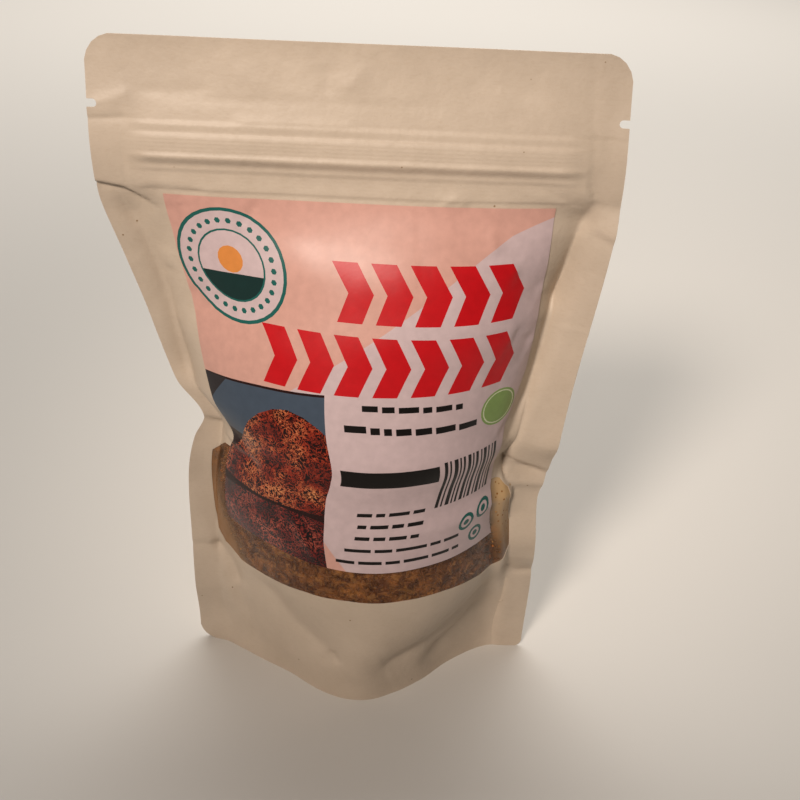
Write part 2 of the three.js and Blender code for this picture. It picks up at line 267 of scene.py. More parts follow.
# Folds that carry both webs with them: at the waist, beside the side seals, beside the foot and in
# the sealed header.
SEAM_FOLDS = [crease(*row) for row in [
    # The laps at the waist, where the filled part tips over the foot of the pouch.
    ([(-92, 111.5), (-80, 108.5), (-70, 106), (-61, 104.8), (-50, 104.5), (-36, 104.5)],
     0.6, 16, 1.2, 0.5),
    ([(-92, 109), (-80, 106), (-70, 103.6), (-61, 102.6), (-50, 102.4), (-36, 102.6)],
     -2.4, 0.9, 12, 0.5, 0.3),
    ([(44, 102), (56, 100.5), (70, 94.6), (80, 91.2), (92, 87)], -2.8, 1.0, 5, 0.4),
    ([(46, 95.5), (55, 94), (70, 88), (80, 87), (92, 87)], 2.0, 4.5, 1.8, 0.4, 0.5),
    ([(59, 102), (64, 94), (67, 88), (69, 80), (70, 72)], 2.2, 7, 4, 0.35, 1.5),
    # The long valleys beside the side seals, and the shoulder where the paper laps over itself.
    ([(-74.5, 193), (-73, 184), (-71.3, 177), (-71, 163.5), (-72, 153.5), (-74, 134.5),
      (-76, 117.5)], -2.8, 9, 3.4, 0.15, 0.5),
    ([(73, 194.5), (71, 190), (69, 183), (68, 173), (67, 161.5), (65, 151.5)],
     -3.8, 2.6, 12, 0.22, 0.4),
    ([(69, 183), (68, 173), (67, 161.5), (65, 151.5), (64.5, 136), (62.5, 125), (58, 117),
      (55, 104)], -3.0, 4, 9, 0.25, 0.8),
    ([(-85, 194), (-79.5, 193), (-72, 191.6), (-68, 189.2), (-64, 186.6), (-61.5, 184.8)],
     -1.8, 0.25, 5.5, 0.3, 0.2),
    ([(69, 193), (75, 192.4), (88, 191)], -0.3, 0.8, 4, 0.2),
    ([(72, 184), (80, 180.5), (88, 180)], -0.6, 0.6, 4, 0.2),
    # The side bands flare a little towards the front.
    ([(82, 194), (82, 150), (82, 96)], 3.8, 9, 9, 0.12, 1.0),
    ([(-84, 184), (-84, 155), (-84, 120)], -2.0, 9, 9, 0.25, 1.0),
    # The bands bow where the pouch tips: forward beside the window on the right, back on the left.
    ([(56, 60), (70, 62), (92, 63)], 7.0, 22, 20, 0.3, 6.0),
    ([(57, 108), (70, 106), (92, 104)], 5.0, 50, 10, 0.3, 4.0),
    ([(-92, 28), (-72, 30), (-58, 34)], 4.0, 45, 14, 0.3, 5.0),
    # Both edges turn back beside the foot.
    ([(-86, 94), (-86, 50), (-86, -6)], -2.8, 14, 14, 0.2, 1.0),
    ([(86, 54), (86, 32), (86, -6)], -3.5, 14, 14, 0.2, 1.0),
    # Small folds beside the foot.
    ([(-73, 51.5), (-68, 48), (-62, 43.5), (-58, 33)], -1.8, 4, 3.5, 0.2, 0.8),
    ([(65, 51), (68, 48.5), (73, 42.5), (84, 41.3)], -1.4, 3, 1.2, 0.2),
    ([(-84, 49), (-72, 49.5), (-66, 48)], -0.7, 1.0, 3, 0.2),
    # The sealed header.
    ([(-84, 215.5), (-78.5, 217), (-73, 218.5), (-66, 221)], 0.5, 1.2, 3, 0.2, 0.3),
    ([(-68, 220.6), (-54.5, 220.6), (-40, 222)], -0.4, 2.5, 1.0, 0.3),
    ([(-9, 231), (-9, 226), (-9.5, 220)], -0.35, 1.8, 1.8, 0.3, 0.9),
    ([(3, 230.5), (-1, 226.5), (-5.5, 222.5)], 0.35, 1.6, 2.0, 0.3, 0.9),
    ([(-39, 213.3), (2, 213.3)], 0.4, 1.6, 0.5, 0.15),
    ([(0, 212.4), (42, 212.4), (84, 212.4)], -0.2, 0.4, 1.5, 0.1),
    ([(-84, 212.3), (-66, 213.6)], -0.4, 0.5, 1.5, 0.2),
    ([(-62, 219), (-17, 219.5), (29, 219.5)], -0.2, 0.8, 0.8, 0.15),
    ([(68.5, 240), (69.5, 218), (70.5, 204)], -0.14, 0.6, 3, 0.2),
    ([(-40, 236), (-36, 228), (-24, 222)], 0.4, 4, 5, 0.35),
    ([(30, 234), (40, 226), (58, 222)], -0.5, 5, 4, 0.35),
    ([(-30, 205), (-10, 199), (14, 203)], 0.4, 5, 5, 0.35, 1.5),
]]
FRONT_CREASES = [crease(*row) for row in [
    ([(-67, 192.3), (-58, 192.8), (-44, 191.8)], -0.4, 0.8, 2.0, 0.25),
    ([(-38, 181), (-29, 191)], -0.5, 1.2, 2.0, 0.3),
    ([(24, 190.2), (29.5, 193.4), (34, 190.6)], 0.6, 1.6, 2.0),
    # Small dents under the label.
    ([(41, 186), (42, 176)], 0.45, 1.2, 2.5, 0.3),
    ([(48, 172), (60, 163)], -0.8, 3, 5),
    ([(48, 152), (59, 146)], -0.9, 3, 5),
    ([(50, 118), (59, 108)], -0.8, 3, 5),
    ([(-60, 160), (-54, 152)], -0.6, 4, 5),
    ([(-64, 172), (-66, 164)], 0.5, 1.2, 2, 0.3),
    ([(-27, 92), (-19, 80), (-13, 69)], 0.7, 1.0, 2.2, 0.3),
    ([(-61, 112), (-50, 104), (-38, 98)], -0.9, 2.5, 4, 0.3),
    # The foot: valleys that run from the side seals down to the middle of the base.
    ([(-57, 48), (-44, 41.5), (-30, 31), (-17, 25), (-9, 21.5), (0, 19.5)], -2.6, 9, 8, 0.3, 3.0),
    ([(0, 14), (11, 16.5), (22.5, 22.5), (38, 28), (54.5, 34.5), (71.5, 44.5)],
     -4.0, 7, 11, 0.25, 2.5),
    ([(-13.5, 24), (-8, 19)], -1.0, 1.5, 2.5, 0.3),
    ([(-84, 0), (-58, 0), (-28, 0)], 3.6, 12, 12, 0.45, 2.0),
    ([(26, 8), (50, 20), (70, 32)], -3.4, 5, 12, 0.3, 2.0),
]]
BACK_CREASES = [crease(*row) for row in [
    ([(-72, 186), (-50, 176), (-24, 170)], -1.0, 5, 3),
    ([(74, 190), (66, 172), (63, 150), (62, 120)], -1.1, 3, 5),
    ([(-68, 44), (-50, 33), (-28, 24), (-8, 20)], -1.8, 7, 7, 0.2, 1.0),
    ([(8, 20), (30, 26), (50, 38), (68, 46)], -1.8, 7, 7, 0.2, 1.0),
    ([(-66, 100), (-48, 92), (-30, 94)], -1.6, 3, 6),
    ([(40, 98), (56, 94), (70, 96)], -1.6, 3, 6),
    ([(-10, 150), (14, 132), (30, 130)], -0.5, 6, 6),
]]


# Slack paper between the folds: how far it swells, how wide and tall a swell is, and its own place
# in the noise.
SLACK_SWELLS = ((0.45, 26, 22, 3.1), (0.16, 9, 10, 7.7))
# How far both webs sway together, how wide and tall a sway is, and its own place in the noise.
SWAY, SWAY_WIDTH, SWAY_HEIGHT, SWAY_PLACE = 0.5, 40, 24, 11.0


def wrinkled(side, across, height, offset=0.0):
    """A point on the real, creased web, moved outwards by offset."""
    out = offset + lift_at(FRONT_CREASES if side == FRONT else BACK_CREASES, across, height)
    # The webs are bonded at the foot, in the header and at the side seals, so nothing swells there.
    slack = ease(height, 4, 30) * (1 - ease(height, 186, 198))
    slack *= ease(PANEL_HALF - abs(across), 7, 17)
    for swell, wide, tall, place in SLACK_SWELLS:
        out += swell * slack * noise.noise(Vector((across / wide, height / tall, place * side)))
    point = web_point(side, across, height) + web_normal(side, across, height) * out
    shift = lift_at(SEAM_FOLDS, across, height)
    sway = noise.noise(Vector((across / SWAY_WIDTH, height / SWAY_HEIGHT, SWAY_PLACE)))
    shift += SWAY * sway * ease(height, 6, 30)
    point.y -= shift
    return point


# --- Sheets: cut flat, then laid over the web.
def cut_outline(bm, outline):
    """Cuts a convex outline, given anticlockwise, into a flat sheet. Gives the faces inside."""
    corners = [Vector((x, y, 0)) for x, y in outline]
    around = 3
    low_x, high_x = min(c.x for c in corners) - around, max(c.x for c in corners) + around
    low_y, high_y = min(c.y for c in corners) - around, max(c.y for c in corners) + around
    faces = []
    for face in bm.faces:
        middle = face.calc_center_median()
        if low_x < middle.x < high_x and low_y < middle.y < high_y:
            faces.append(face)
    for a, b in zip(corners, corners[1:] + corners[:1]):
        outward = Vector((b.y - a.y, a.x - b.x, 0)).normalized()
        edges = {edge for face in faces for edge in face.edges}
        verts = {vert for face in faces for vert in face.verts}
        cut = bmesh.ops.bisect_plane(
            bm, geom=[*verts, *edges, *faces], dist=CUT_WELD, plane_co=a, plane_no=outward)
        found = [item for item in cut["geom"] if isinstance(item, bmesh.types.BMFace)]
        faces = [face for face in found if (face.calc_center_median() - a).dot(outward) < 0]
    return faces


def remove_outline(bm, outline):
    """Cuts a hole with a convex outline into a flat sheet."""
    bmesh.ops.delete(bm, geom=cut_outline(bm, outline), context="FACES")


def trim(bm, point, outward):
    """Cuts off everything past a straight line."""
    bmesh.ops.bisect_plane(
        bm, geom=[*bm.verts, *bm.edges, *bm.faces], dist=CUT_WELD,
        plane_co=(*point, 0), plane_no=(*outward, 0), clear_outer=True)


def round_corner(bm, corner, towards, radius, steps=5):
    """Rounds a corner of a flat sheet. towards points into the sheet, as (+-1, +-1)."""
    centre = (corner[0] + towards[0] * radius, corner[1] + towards[1] * radius)
    for i in range(1, steps):
        angle = math.pi / 2 * i / steps
        outward = (-towards[0] * math.cos(angle), -towards[1] * math.sin(angle))
        trim(bm, (centre[0] + outward[0] * radius, centre[1] + outward[1] * radius), outward)


def flat_sheet(columns, rows):
    """A flat sheet whose grid lines are at the given places across and heights."""
    bm = bmesh.new()
    bmesh.ops.create_grid(bm, x_segments=len(columns) - 1, y_segments=len(rows) - 1, size=0.5)
    low_x, high_x = min(v.co.x for v in bm.verts), max(v.co.x for v in bm.verts)
    low_y, high_y = min(v.co.y for v in bm.verts), max(v.co.y for v in bm.verts)
    for vert in bm.verts:
        column = round((vert.co.x - low_x) / (high_x - low_x) * (len(columns) - 1))
        row = round((vert.co.y - low_y) / (high_y - low_y) * (len(rows) - 1))
        vert.co = Vector((columns[column], rows[row], 0))
    return bm


def steps_between(start, end, step):
    """Places from start to end, both counted, about a step apart."""
    count = round((end - start) / step)
    return [start + (end - start) * i / count for i in range(count + 1)]


def lay_on_web(bm, side, offset):
    """Keeps each vertex's flat place as the sheet's UV map and moves the vertex onto the web."""
    flat = bm.loops.layers.uv.new("flat")
    for face in bm.faces:
        for loop in face.loops:
            loop[flat].uv = (loop.vert.co.x / FLAT_UNIT, loop.vert.co.y / FLAT_UNIT)
    for vert in bm.verts:
        vert.co = wrinkled(side, vert.co.x, vert.co.y, offset) * MM
    if side == BACK:
        bmesh.ops.reverse_faces(bm, faces=bm.faces)


def finish_piece(name, bm, materials, nodes):
    """Makes the piece's object, which rides on the pouch, and hides its CAD nodes. It is shaded
    smooth, but the cut edges of a sheet stay crisp."""
    mesh = bpy.data.meshes.new(name)
    for face in bm.faces:
        face.smooth = True
    for edge in bm.edges:
        edge.smooth = not edge.is_boundary
    bm.to_mesh(mesh)
    bm.free()
    for material in materials:
        mesh.materials.append(material)
    piece = bpy.data.objects.new(name, mesh)
    bpy.context.collection.objects.link(piece)
    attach(piece, "root")
    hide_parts(*nodes)
    return piece


def thicken(piece, thickness):
    """Gives a sheet its thickness, inwards from its outer face."""
    wall = piece.modifiers.new("thickness", "SOLIDIFY")
    wall.thickness = thickness
    wall.offset = -1
    wall.use_even_offset = False


# --- Materials.
def linear(hex_colour):
    """An sRGB hex colour as a linear and opaque colour."""
    def channel(value):
        return value / 12.92 if value <= 0.04045 else ((value + 0.055) / 1.055) ** 2.4

    parts = [int(hex_colour[i:i + 2], 16) / 255 for i in (1, 3, 5)]
    return (*map(channel, parts), 1.0)


def add(tree, kind, inputs=None, stops=None, **settings):
    """Adds a node with its settings, and fills its inputs with values or other nodes' outputs."""
    made = tree.nodes.new("ShaderNode" + kind)
    for name, value in settings.items():
        setattr(made, name, value)
    for name, value in (inputs or {}).items():
        if isinstance(value, bpy.types.NodeSocket):
            tree.links.new(value, made.inputs[name])
        else:
            made.inputs[name].default_value = value
    if stops:
        elements = made.color_ramp.elements
        while len(elements) < len(stops):
            elements.new(0.5)
        for element, (place, colour) in zip(elements, stops):
            element.position = place
            element.color = linear(colour)
    return made


def flow(tree, kind, inputs=None, stops=None, **settings):
    """Adds a node and gives its first output."""
    return add(tree, kind, inputs, stops, **settings).outputs[0]


def calculate(tree, operation, *values):
    """Does a sum with values or other nodes' outputs."""
    return flow(tree, "Math", dict(enumerate(values)), operation=operation)


def mix(tree, share, first, second, **settings):
    """Mixes two colours."""
    return flow(tree, "MixRGB", {"Fac": share, "Color1": first, "Color2": second}, **settings)


def new_material(name):
    """A material with an empty tree and millimetre coordinates over the object."""
    material = bpy.data.materials.new(name)
    material.use_nodes = True
    tree = material.node_tree
    tree.nodes.clear()
    place = add(tree, "TexCoord")
    millimetres = flow(tree, "Mapping", {"Vector": place.outputs["Object"],
                                         "Scale": (1000, 1000, 1000)})
    return material, tree, millimetres


def close_material(tree, inputs):
    """Ends the tree in a shader with the given inputs."""
    shader = flow(tree, "BsdfPrincipled", inputs)
    add(tree, "OutputMaterial", {"Surface": shader})


RIB_PITCH = 1.1


def kraft_paper():
    """Kraft paper laminated to film: matt, pale tan, mottled, with fibres, rare bark specks and the
    zip's fine ribs pressed through it."""
    material, tree, place = new_material("kraft_paper")
    mottle = flow(tree, "TexNoise", {"Vector": place, "Scale": 0.05, "Detail": 4, "Roughness": 0.6})
    fibre_place = flow(tree, "Mapping", {"Vector": place, "Scale": (0.5, 0.5, 1.6)})
    fibres = flow(tree, "TexNoise", {"Vector": fibre_place, "Scale": 1.1, "Detail": 5,
                                     "Roughness": 0.7})
    tone = flow(tree, "ValToRGB", {"Fac": mottle}, stops=[(0.3, "#BFAE9B"), (0.7, "#C9B8A5")])
    fleck = flow(tree, "ValToRGB", {"Fac": fibres}, stops=[(0.3, "#FAF8F5"), (0.5, "#FFFFFF")])
    colour = mix(tree, 1.0, tone, fleck, blend_type="MULTIPLY")
    bark = flow(tree, "TexVoronoi", {"Vector": place, "Scale": 0.11})
    speck = flow(tree, "MapRange", {"Value": bark, "From Min": 0.042, "From Max": 0.026})
    specked = mix(tree, speck, colour, linear("#8C7355"))
    # The zip's ribs show in two rows across the header: a faint one and, above it, a strong one.
    axes = add(tree, "SeparateXYZ", {"Vector": place})
    share = calculate(tree, "DIVIDE", axes.outputs["Z"], POUCH_HEIGHT)
    rows = flow(tree, "ValToRGB", {"Fac": share}, stops=[
        (0.812, "#000000"), (0.816, "#A0A0A0"), (0.842, "#A0A0A0"), (0.846, "#000000"),
        (0.862, "#000000"), (0.866, "#FFFFFF"), (0.886, "#FFFFFF"), (0.890, "#000000")])
    aside = calculate(tree, "ABSOLUTE", axes.outputs["X"])
    inside = flow(tree, "MapRange", {"Value": aside, "From Min": 72, "From Max": 62})
    turns = calculate(tree, "MULTIPLY", axes.outputs["Z"], 2 * math.pi / RIB_PITCH)
    wave = calculate(tree, "SINE", turns)
    grid = flow(tree, "TexVoronoi", {"Vector": place, "Scale": 0.8, "Randomness": 0.0})
    netted = mix(tree, 0.6, wave, grid)
    ribs = calculate(tree, "MULTIPLY", netted, rows)
    pressed = calculate(tree, "MULTIPLY", ribs, inside)
    crumple = flow(tree, "TexNoise", {"Vector": place, "Scale": 0.14, "Detail": 3,
                                      "Roughness": 0.55})
    soft = flow(tree, "Bump", {"Height": crumple, "Strength": 0.55, "Distance": 0.0006})
    ribbed = flow(tree, "Bump", {"Height": pressed, "Strength": 0.7, "Distance": 0.00003,
                                 "Normal": soft})
    bump = flow(tree, "Bump", {"Height": fibres, "Strength": 0.3, "Distance": 0.0001,
                               "Normal": ribbed})
    close_material(tree, {"Base Color": specked, "Roughness": 0.5, "IOR": 1.5,
                          "Specular IOR Level": 0.4, "Normal": bump})
    return material


FOG_LEAN = 0.0045
FOG_LEVEL = 65


def clear_film():
    """Clear PET and PE film, hazy brown with crayfish dust, glossy, with painted light and shade at
    its sides.
    """
    material, tree, place = new_material("clear_film")
    haze = flow(tree, "TexNoise", {"Vector": place, "Scale": 0.22, "Detail": 5, "Roughness": 0.6})
    dusty = flow(tree, "ValToRGB", {"Fac": haze}, stops=[
        (0.32, "#452A1B"), (0.5, "#6B462B"), (0.68, "#A36A3A")])
    # It fogs over towards both sides, and its clearer middle leans to the left going up. The fogged
    # sides also hold painted light and shade: on the right a painted shade low down and painted
    # light high up, and a darker tone on the left.
    flat = flow(tree, "UVMap", uv_map="flat")
    split = add(tree, "SeparateXYZ", {"Vector": flat})
    axes = add(tree, "SeparateXYZ", {"Vector": place})
    rising = calculate(tree, "MULTIPLY_ADD", axes.outputs["Z"], FOG_LEAN, -FOG_LEAN * FOG_LEVEL)
    shifted = calculate(tree, "ADD", split.outputs["X"], rising)
    aside = calculate(tree, "ABSOLUTE", shifted)
    share = flow(tree, "MapRange", {"Value": aside, "From Min": 0.54, "From Max": 0.66})
    right_side = flow(tree, "MapRange", {"Value": split.outputs["X"],
                                         "From Min": -0.2, "From Max": 0.2})
    high = flow(tree, "MapRange", {"Value": axes.outputs["Z"], "From Min": 60, "From Max": 86})
    # Painted shade low on the right side and painted light high up on it; the left side gets a
    # darker painted tone.
    right_painted_light_tone = mix(tree, high, linear("#7A5838"), linear("#BE9E74"))
    sides = mix(tree, right_side, linear("#8F6A48"), right_painted_light_tone)
    fog_and_painted_light = mix(tree, share, dusty, sides)
    broken = flow(tree, "TexVoronoi", {"Vector": place, "Scale": 0.45})
    specks = flow(tree, "MapRange", {"Value": broken, "From Min": 0.22, "From Max": 0.12})
    tone = mix(tree, specks, fog_and_painted_light, linear("#8A5A2A"))
    cover = flow(tree, "MapRange", {"Value": share, "To Min": 0.55, "To Max": 1.0})
    ripple = flow(tree, "TexNoise", {"Vector": place, "Scale": 0.16, "Detail": 2})
    bump = flow(tree, "Bump", {"Height": ripple, "Strength": 0.5, "Distance": 0.0006})
    close_material(tree, {"Base Color": tone, "Roughness": 0.25, "IOR": 1.5,
                          "Alpha": cover, "Normal": bump})
    return material


def printed(name, hex_colour):
    """Ink on coated label paper: satin, with a very slight unevenness."""
    material, tree, place = new_material(name)
    grain = flow(tree, "TexNoise", {"Vector": place, "Scale": 0.35, "Detail": 4})
    shade = flow(tree, "ValToRGB", {"Fac": grain}, stops=[(0.25, "#F1F1F1"), (0.75, "#FFFFFF")])
    colour = mix(tree, 1.0, linear(hex_colour), shade, blend_type="MULTIPLY")
    bump = flow(tree, "Bump", {"Height": grain, "Strength": 0.15, "Distance": 0.0002})
    close_material(tree, {"Base Color": colour, "Roughness": 0.36, "IOR": 1.5,
                          "Specular IOR Level": 0.3, "Normal": bump})
    return material


STRAND_TURNS = 27.0


def printed_heap(name, colours):
    """A printed heap of small dried things: thin bright curled strands over dark gaps."""
    material, tree, place = new_material(name)
    turned = flow(tree, "Mapping", {"Vector": place, "Location": (31, 7, 13),
                                    "Rotation": (0.4, 1.1, 0.7)})
    lines = []
    for where, fineness in ((place, 0.34), (turned, 0.28)):
        drift = flow(tree, "TexNoise", {"Vector": where, "Scale": fineness, "Detail": 2.5,
                                        "Distortion": 1.6})
        turns = calculate(tree, "MULTIPLY", drift, STRAND_TURNS)
        wave = calculate(tree, "SINE", turns)
        thin = flow(tree, "MapRange", {"Value": wave, "From Min": 0.35, "From Max": 1.0})
        lines.append(thin)
    strands = calculate(tree, "MAXIMUM", lines[0], lines[1])
    grain = flow(tree, "TexNoise", {"Vector": place, "Scale": 0.8, "Detail": 4, "Roughness": 0.7})
    mound = flow(tree, "TexNoise", {"Vector": place, "Scale": 0.1, "Detail": 1})
    lit = calculate(tree, "MULTIPLY", strands, mound)
    mixed = mix(tree, 0.3, lit, grain)
    stops = list(zip((0.15, 0.28, 0.44, 0.66), colours))
    colour = flow(tree, "ValToRGB", {"Fac": mixed}, stops=stops)
    close_material(tree, {"Base Color": colour, "Roughness": 0.25, "IOR": 1.5,
                          "Specular IOR Level": 0.4})
    return material


def dried_crayfish():
    """Sun-dried crayfish shell: dry, brown to amber, with pale broken edges."""
    material, tree, place = new_material("dried_crayfish")
    tone = flow(tree, "UVMap", uv_map="tone")
    split = add(tree, "SeparateXYZ", {"Vector": tone})
    spots = flow(tree, "TexNoise", {"Vector": place, "Scale": 0.5, "Detail": 4, "Roughness": 0.7})
    mixed = calculate(tree, "ADD", split.outputs["X"], spots)
    halved = calculate(tree, "MULTIPLY", mixed, 0.5)
    colour = flow(tree, "ValToRGB", {"Fac": halved}, stops=[
        (0.15, "#4A230F"), (0.4, "#8A4A1E"), (0.6, "#B06A2C"), (0.85, "#DCA55C")])
    bump = flow(tree, "Bump", {"Height": spots, "Strength": 0.6, "Distance": 0.0004})
    close_material(tree, {"Base Color": colour, "Roughness": 0.6, "IOR": 1.5, "Normal": bump})
    return material


def zip_plastic():
    """Natural LDPE zip strip: milky and soft looking."""
    material, tree, place = new_material("zip_plastic")
    draw = flow(tree, "TexNoise", {"Vector": place, "Scale": 0.4, "Detail": 2})
    tone = flow(tree, "ValToRGB", {"Fac": draw}, stops=[(0.3, "#D8CFC0"), (0.7, "#E2DACC")])
    close_material(tree, {"Base Color": tone, "Roughness": 0.4, "IOR": 1.51})
    return material


KRAFT = kraft_paper()
FILM = clear_film()
CRAYFISH = dried_crayfish()
ZIP = zip_plastic()

# --- The paper webs.
WINDOW_PARTS = [
    [(-22, 54), (-22, 103), (-57, 101), (-64, 99), (-72.4, 92.3), (-70.4, 66), (-69.2, 57),
     (-65.5, 51.5), (-56, 48.6), (-42.5, 49)],
    [(-22, 54), (-4.5, 56.3), (-4.5, 103), (-22, 103)],
    [(-4.5, 56.3), (15, 56.7), (15, 103), (-4.5, 103)],
    [(15, 56.7), (31.5, 55.3), (31.5, 103), (15, 103)],
    [(31.5, 55.3), (51, 52), (51, 103), (31.5, 103)],
    [(51, 52), (60, 52.6), (66, 55.5), (70, 60), (70, 71), (68.4, 80), (65, 87.5), (58.5, 91.5),
     (51, 93)],
]
# The rows are closer together where the zip shows.
ZIP_ROWS_LOW, ZIP_ROWS_HIGH, ZIP_ROWS_STEP = 190, 214, 0.5
WEB_ROWS = [
    *steps_between(0, ZIP_ROWS_LOW, WEB_STEP),
    *steps_between(ZIP_ROWS_LOW + ZIP_ROWS_STEP, ZIP_ROWS_HIGH, ZIP_ROWS_STEP),
    *steps_between(ZIP_ROWS_HIGH + WEB_STEP, POUCH_HEIGHT, WEB_STEP),
]
NOTCH_STEPS = 6


def cut_web(step):
    """A flat web with its tear notches and rounded corners. Below the zip it has a row a step."""
    columns = steps_between(-PANEL_HALF, PANEL_HALF, step)
    rows = [z for z in WEB_ROWS if z >= ZIP_ROWS_LOW or z % step == 0]
    bm = flat_sheet(columns, rows)
    for edge in (-1, 1):
        tip = edge * (PANEL_HALF - NOTCH_DEPTH + NOTCH_HALF)
        past_edge = edge * (PANEL_HALF + 2)
        outline = [(past_edge, NOTCH_HEIGHT - NOTCH_HALF)]
        for i in range(NOTCH_STEPS + 1):
            angle = -math.pi / 2 + math.pi * i / NOTCH_STEPS
            outline.append((tip - edge * NOTCH_HALF * math.cos(angle),
                            NOTCH_HEIGHT + NOTCH_HALF * math.sin(angle)))
        outline.append((past_edge, NOTCH_HEIGHT + NOTCH_HALF))
        remove_outline(bm, outline if edge < 0 else outline[::-1])
    round_corner(bm, (-PANEL_HALF, POUCH_HEIGHT), (1, -1), TOP_CORNER)
    round_corner(bm, (PANEL_HALF, POUCH_HEIGHT), (-1, -1), TOP_CORNER)
    round_corner(bm, (-PANEL_HALF, 0), (1, 1), LEFT_FOOT_CORNER)
    round_corner(bm, (PANEL_HALF, 0), (-1, 1), RIGHT_FOOT_CORNER)
    return bm


front = cut_web(WEB_STEP)
for part in WINDOW_PARTS:
    remove_outline(front, part)
lay_on_web(front, FRONT, 0)
front_web = finish_piece("pouch_front_web", front, [KRAFT], ["pouch"])
thicken(front_web, PAPER * MM)

rear = cut_web(2 * WEB_STEP)
lay_on_web(rear, BACK, 0)
back_web = finish_piece("pouch_back_web", rear, [KRAFT], ["pouch"])
thicken(back_web, PAPER * MM)

# --- The gusset: one sheet between the webs, flat on the ground and rising to the side seals.
GUSSET_FLAT = (-22, 30)
GUSSET_HALF = 70
GUSSET_CLEARANCE = 0.6
GUSSET_RISE = 38
GUSSET_SPAN = 40
GUSSET_POWER = 1.5
GUSSET_GAP = 0.15
GUSSET_THICKNESS = 0.2
gusset = flat_sheet(steps_between(-GUSSET_HALF, GUSSET_HALF, 2), steps_between(-1, 1, 0.125))
for vert in gusset.verts:
    across, share = vert.co.x, vert.co.y
    edge_x = web_point(FRONT, across, 0).x
    outside = max(GUSSET_FLAT[0] - edge_x, edge_x - GUSSET_FLAT[1], 0)
    rise = GUSSET_CLEARANCE + GUSSET_RISE * min(outside / GUSSET_SPAN, 1) ** GUSSET_POWER
    ahead = wrinkled(FRONT, across, rise, -PAPER - GUSSET_GAP)
    behind = wrinkled(BACK, across, rise, -PAPER - GUSSET_GAP)
    vert.co = ahead.lerp(behind, (share + 1) / 2) * MM
gusset_piece = finish_piece("pouch_gusset", gusset, [KRAFT], ["pouch"])
thicken(gusset_piece, GUSSET_THICKNESS * MM)

# --- The clear film behind the window.
FILM_LEFT, FILM_RIGHT, FILM_BOTTOM, FILM_TOP = -75, 73, 46, 106
FILM_IN = 0.17
film = flat_sheet(steps_between(FILM_LEFT, FILM_RIGHT, 1), steps_between(FILM_BOTTOM, FILM_TOP, 1))
lay_on_web(film, FRONT, -FILM_IN)
finish_piece("clear_window", film, [FILM], ["window_film"])

# --- The label.
LABEL_HALF = 61
LABEL_BOTTOM, LABEL_TOP = 70, 190.7
LABEL_OUT = 0.25
LABEL_THICKNESS = 0.15
INKS = {
    "salmon": printed("printed_salmon", "#D2A193"),
    "white": printed("printed_pale_pink", "#CCB6B7"),
    "red": printed("printed_red", "#C2121A"),
    "black": printed("printed_black", "#120E0C"),
    "night": printed("printed_night", "#2A2426"),
    "blue": printed("printed_slate_blue", "#44505F"),
    "heap": printed_heap("printed_heap", ("#180302", "#54110A", "#94301A", "#DA945E")),
    "dark_heap": printed_heap("printed_dark_heap", ("#100203", "#360809", "#6C1816", "#B8604A")),
    "maroon": printed("printed_maroon", "#240A08"),
    "green": printed("printed_green", "#86A25A"),
    "pale_green": printed("printed_pale_green", "#D5DBB6"),
    "orange": printed("printed_orange", "#D98A45"),
    "teal": printed("printed_teal", "#1D5E57"),
    "dark_teal": printed("printed_dark_teal", "#16302E"),
}
INK_ORDER = list(INKS)
label = flat_sheet(steps_between(-LABEL_HALF, LABEL_HALF, 1),
                   steps_between(LABEL_BOTTOM, LABEL_TOP, 1))
# Its sides lean a little, the left one in two parts.
trim(label, (56.2, LABEL_BOTTOM), (1, -0.036))
trim(label, (-59, LABEL_BOTTOM), (-1, -0.018))
trim(label, (-60.8, 172), (-1, 0.08))
# The edge is drawn in where the pouch is pinched at its waist.
remove_outline(label, [(66, 67), (66, 138), (59.5, 138), (55.6, 126), (53, 117), (51.6, 112),
                       (50.2, 102), (50.6, 90), (53.6, 76), (56.5, 67)])


def paint(outline, ink):
    """Prints the inside of a convex outline, given anticlockwise, with one ink."""
    for face in cut_outline(label, outline):
        face.material_index = INK_ORDER.index(ink)


def disc(centre, radius, count=28, squeeze=1.0):
    """The outline of a disc, or of an oval where squeeze is below 1."""
    turns = [2 * math.pi * i / count for i in range(count)]
    return [(centre[0] + radius * math.cos(t),
             centre[1] + radius * squeeze * math.sin(t)) for t in turns]


def box(left, right_end, bottom, top):
    """The outline of a box."""
    return [(left, bottom), (right_end, bottom), (right_end, top), (left, top)]


CHEVRON_TIP = 4.4


def chevron(left, width, bottom, top):
    """A broad red arrow head that points to the right, in two leaning halves."""
    middle = (bottom + top) / 2
    tip = left + CHEVRON_TIP
    paint([(tip, middle), (tip + width, middle), (left + width, top), (left, top)], "red")
    paint([(left, bottom), (left + width, bottom), (tip + width, middle), (tip, middle)], "red")


DASH_GAP = 1.3
SHORTEST_DASH = 1.5


def dashes(left, right_end, bottom, thickness, lengths, drop=0.0):
    """A row of dashes, like small print from a distance. It sinks by drop to the right."""
    place = left
    count = 0
    while place < right_end - SHORTEST_DASH:
        length = min(lengths[count % len(lengths)], right_end - place)
        low = bottom - drop * (place - left) / (right_end - left)
        paint(box(place, place + length, low, low + thickness), "black")
        place += length + DASH_GAP
        count += 1


# The pale field below the salmon one. Its edge sweeps down from the top right to the left.
paint([(61, 70), (61, 191.5), (47.5, 182.5), (28.5, 174.6), (8.5, 165.6), (-12.5, 153),
       (-25, 141.5), (-33, 131), (-33, 70)], "white")

